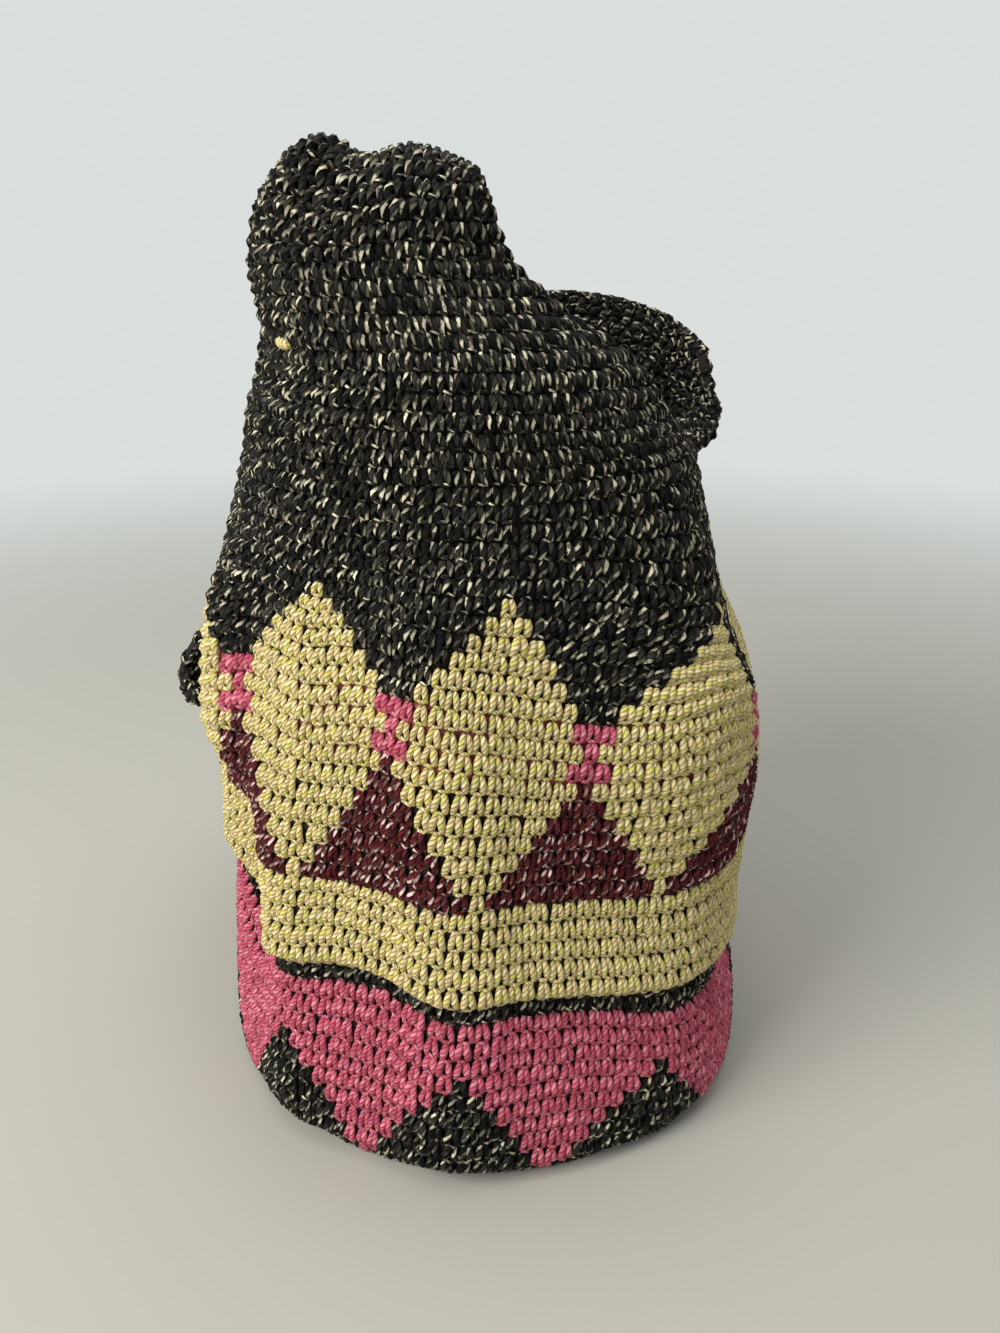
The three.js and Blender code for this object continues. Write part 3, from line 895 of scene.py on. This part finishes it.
def build_inside():
    """The wrong side of the wall, seen through the mouth."""
    inside = Piece("wall_inside")
    add_stitches(inside, column_point, wall_list(1, WALL_ROWS), INSIDE_STRANDS, side=-1)
    inside.write(YARNS)


# The body of the fabric behind the stitches: a sheet to each side of the middle surface, with a rim along
# the strap's edges. Strands cover its other edges.
CORE_HALF = 1.4
CORE_COLUMNS = 72
STRAP_CORE_COLUMNS = 21
GRID_ROWS_A_ROW = 2
DISC_RINGS = 6
DISC_MIDDLE = 0.5


def grid_rows(first, last):
    return np.linspace(first, last, GRID_ROWS_A_ROW * (last - first) + 1)[:, None]


def add_both_sides(piece, points, normals, closed=False, yarn_rows=None):
    piece.add_sheet(points + normals * CORE_HALF, closed, yarn_rows)
    piece.add_sheet((points - normals * CORE_HALF)[:, ::-1], closed)


def build_core():
    core = Piece("fabric_core")
    turns = (np.arange(CORE_COLUMNS) * 360 / CORE_COLUMNS)[None, :]
    rows = grid_rows(0, WALL_ROWS)
    points, normals = skin(column_point, rows, turns, SMALL_TURN)
    pink = (rows[:-1, 0] >= LOWER_DIAMOND_ROWS - 1) & (rows[:-1, 0] < BOW_ROWS + 0.5)
    add_both_sides(core, points, normals, closed=True, yarn_rows=pink.astype(int))

    across = np.linspace(-1, 1, STRAP_CORE_COLUMNS)[None, :]
    points, normals = skin(strap_line_point, grid_rows(WALL_ROWS, LAST_ROW), across, SMALL_ACROSS)
    add_both_sides(core, points, normals)
    for edge in (0, -1):
        outer = points[:, edge] + normals[:, edge] * CORE_HALF
        inner = points[:, edge] - normals[:, edge] * CORE_HALF
        core.add_sheet(np.stack([outer, inner] if edge == -1 else [inner, outer], axis=1))

    radii = np.linspace(DISC_MIDDLE, BASE_RADIUS, DISC_RINGS)[:, None]
    for height in (HALF - CORE_HALF, HALF + CORE_HALF):
        disc = np.stack([radii * np.sin(np.radians(turns)), -radii * np.cos(np.radians(turns)),
                         np.full((DISC_RINGS, CORE_COLUMNS), height)], axis=-1)
        core.add_sheet(disc, closed=True)
    core.write(CORE)


build_wall()
build_strap()
build_base()
build_core()
build_inside()

# Camera
CAMERA_PLACE = (0.0062, -0.349, 0.2896)
CAMERA_PITCH = 22
FOCAL_LENGTH = 36
SENSOR_WIDTH = 36
CLIP_START = 0.01


def add_camera():
    data = bpy.data.cameras.new("camera")
    data.sensor_fit = "HORIZONTAL"
    data.sensor_width = SENSOR_WIDTH
    data.lens = FOCAL_LENGTH
    data.clip_start = CLIP_START
    camera = bpy.data.objects.new("camera", data)
    camera.location = CAMERA_PLACE
    camera.rotation_euler = (math.radians(90 - CAMERA_PITCH), 0, 0)
    bpy.context.scene.collection.objects.link(camera)
    bpy.context.scene.camera = camera


# Floor: pale, and fading into the background away from the bag
BACKGROUND = (0.70, 0.74, 0.72)
FLOOR = (0.46, 0.45, 0.39)
FLOOR_ROUGHNESS = 0.9
FLOOR_REACH = 12.0
FADE_RANGE = (0.35, 1.3)


def floor_look():
    material, nodes, shader, output = new_material("floor")
    shader.inputs["Base Color"].default_value = (*FLOOR, 1)
    shader.inputs["Roughness"].default_value = FLOOR_ROUGHNESS
    reach = nodes.vector_maths("LENGTH", nodes.place()).outputs["Value"]
    fade = nodes.map_range(reach, (0, 1), FADE_RANGE, "SMOOTHSTEP")
    glow = nodes.add("ShaderNodeEmission")
    glow.inputs["Color"].default_value = (*BACKGROUND, 1)
    seen = nodes.add("ShaderNodeLightPath").outputs["Is Camera Ray"]
    mixed = nodes.mix_shaders(nodes.maths("MULTIPLY", fade, seen), shader.outputs[0], glow.outputs[0])
    nodes.feed(output.inputs[0], mixed)
    return material


def add_floor():
    mesh = bpy.data.meshes.new("floor")
    corners = [(-1, -1), (1, -1), (1, 1), (-1, 1)]
    mesh.from_pydata([(x * FLOOR_REACH, y * FLOOR_REACH, 0) for x, y in corners], [], [(0, 1, 2, 3)])
    mesh.materials.append(floor_look())
    floor = bpy.data.objects.new("floor", mesh)
    bpy.context.scene.collection.objects.link(floor)


# Light: a pale room, and a large window to the left of the camera
ROOM_COLOUR = (0.93, 0.96, 1.0)
ROOM_STRENGTH = 0.42


def background(nodes, colour, strength):
    node = nodes.add("ShaderNodeBackground")
    node.inputs["Color"].default_value = (*colour, 1)
    node.inputs["Strength"].default_value = strength
    return node.outputs[0]


def add_room():
    world = bpy.data.worlds.new("room")
    bpy.context.scene.world = world
    nodes = Nodes(world)
    room = background(nodes, ROOM_COLOUR, ROOM_STRENGTH)
    backdrop = background(nodes, BACKGROUND, 1.0)
    seen = nodes.add("ShaderNodeLightPath").outputs["Is Camera Ray"]
    output = nodes.add("ShaderNodeOutputWorld")
    nodes.feed(output.inputs[0], nodes.mix_shaders(seen, room, backdrop))


def add_lamp(name, place, target, size, watts, colour):
    data = bpy.data.lights.new(name, "AREA")
    data.shape = "SQUARE"
    data.size = size
    data.energy = watts
    data.color = colour
    lamp = bpy.data.objects.new(name, data)
    lamp.location = place
    x, y, z = np.array(target) - np.array(place)
    lamp.rotation_euler = (math.atan2(math.hypot(x, y), -z), 0, math.atan2(x, -y) + math.pi)
    bpy.context.scene.collection.objects.link(lamp)


add_camera()
add_floor()
add_room()
add_lamp("window", (-0.9, -0.7, 0.9), (0, 0, 0.15), 0.8, 19, (1.0, 0.99, 0.97))
add_lamp("ceiling", (0.1, 0.1, 1.4), (0, 0, 0.2), 1.2, 8, (1.0, 1.0, 1.0))

bpy.context.scene.view_settings.view_transform = "Standard"
